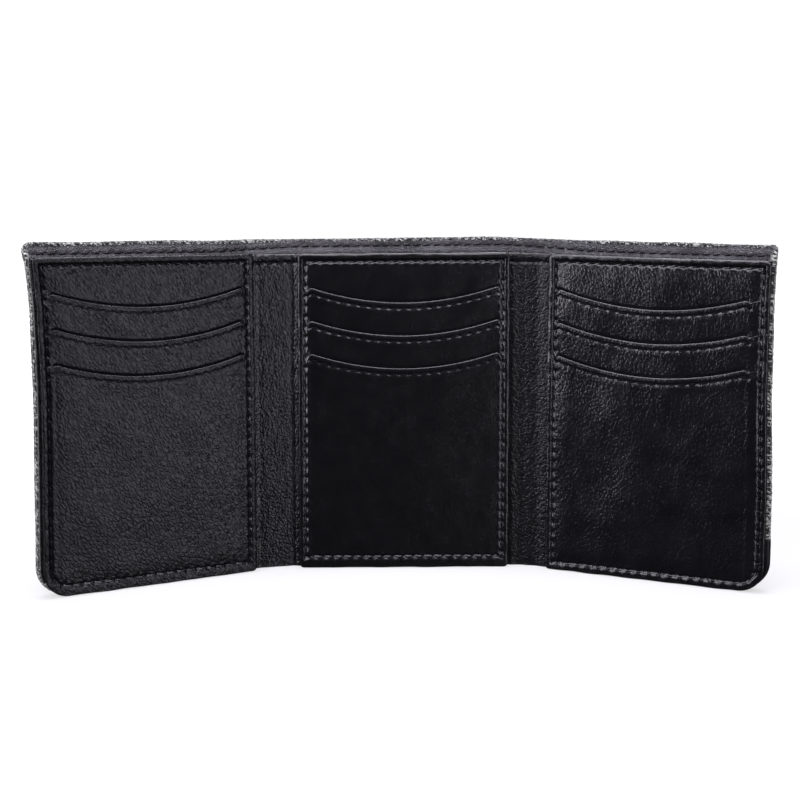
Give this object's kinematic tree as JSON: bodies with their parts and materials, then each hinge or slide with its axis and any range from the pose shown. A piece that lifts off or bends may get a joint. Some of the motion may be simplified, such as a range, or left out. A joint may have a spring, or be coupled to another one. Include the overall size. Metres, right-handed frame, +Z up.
{
  "type": "trifold wallet",
  "caption": "Trifold wallet of black leather and flecked cloth: hinged wings with stepped card slots, slip pockets and a bill compartment.",
  "frame": {"origin": "middle of the liner's bottom edge, on the surface that the wallet stands on", "axes": "+X along the wallet towards the right wing, +Y out of the back of the centre leaf, +Z up the wallet's height"},
  "size_m": [0.2278, 0.0362, 0.108],
  "materials": {
    "leather": "smooth polished grain, semi-gloss",
    "pebbled_leather": "pebbled grain, semi-gloss",
    "tweed_cloth": "flecked salt-and-pepper weave, matt",
    "bill_lining": "fine plain weave, satin",
    "thread": "twisted thread, matt"
  },
  "bodies": {
    "centre": {"centre_cloth": "tweed_cloth", "centre_lining": "bill_lining", "centre_facing": "leather", "centre_hem": "tweed_cloth", "centre_liner": "pebbled_leather", "centre_top_thread": "thread", "centre_card_back": "leather", "centre_upper_pocket": "leather", "centre_middle_pocket": "leather", "centre_front_pocket": "leather", "centre_edge_binding": "leather", "centre_panel_thread": "thread", "centre_slot_thread": "thread"},
    "left_spine": {"left_spine_cloth": "tweed_cloth", "left_spine_lining": "bill_lining", "left_spine_facing": "leather", "left_spine_hem": "tweed_cloth", "left_spine_liner": "pebbled_leather", "left_spine_top_thread": "thread"},
    "left_wing": {"left_wing_cloth": "tweed_cloth", "left_wing_lining": "bill_lining", "left_wing_facing": "leather", "left_wing_hem": "tweed_cloth", "left_wing_liner": "pebbled_leather", "left_wing_top_thread": "thread", "left_wing_card_back": "leather", "left_wing_upper_pocket": "leather", "left_wing_middle_pocket": "leather", "left_wing_front_pocket": "leather", "left_wing_edge_binding": "leather", "left_wing_panel_thread": "thread", "left_wing_slot_thread": "thread"},
    "right_spine": {"right_spine_cloth": "tweed_cloth", "right_spine_lining": "bill_lining", "right_spine_facing": "leather", "right_spine_hem": "tweed_cloth", "right_spine_liner": "pebbled_leather", "right_spine_top_thread": "thread"},
    "right_wing": {"right_wing_cloth": "tweed_cloth", "right_wing_lining": "bill_lining", "right_wing_facing": "leather", "right_wing_hem": "tweed_cloth", "right_wing_liner": "pebbled_leather", "right_wing_top_thread": "thread", "right_wing_card_back": "leather", "right_wing_upper_pocket": "leather", "right_wing_middle_pocket": "leather", "right_wing_front_pocket": "leather", "right_wing_edge_binding": "leather", "right_wing_panel_thread": "thread", "right_wing_slot_thread": "thread", "right_wing_corner_patch": "leather"}
  },
  "joints": [
    {"name": "left_inner_fold", "type": "hinge", "parent": "centre", "child": "left_spine", "pos_m": [-0.0365, -0.00035, 0.054], "axis": [0, 0, 1], "range_deg": [-12, 78]},
    {"name": "left_outer_fold", "type": "hinge", "parent": "left_spine", "child": "left_wing", "pos_m": [-0.04746, -0.00268, 0.054], "axis": [0, 0, 1], "range_deg": [-12, 78]},
    {"name": "right_inner_fold", "type": "hinge", "parent": "centre", "child": "right_spine", "pos_m": [0.0386, -0.00035, 0.054], "axis": [0, 0, -1], "range_deg": [-11.75, 78.25]},
    {"name": "right_outer_fold", "type": "hinge", "parent": "right_spine", "child": "right_wing", "pos_m": [0.04389, -0.00145, 0.054], "axis": [0, 0, -1], "range_deg": [-11.75, 78.25]}
  ],
  "couplings": [
    {"joint": "left_outer_fold", "follows": "left_inner_fold", "ratio": 1},
    {"joint": "right_outer_fold", "follows": "right_inner_fold", "ratio": 1}
  ]
}
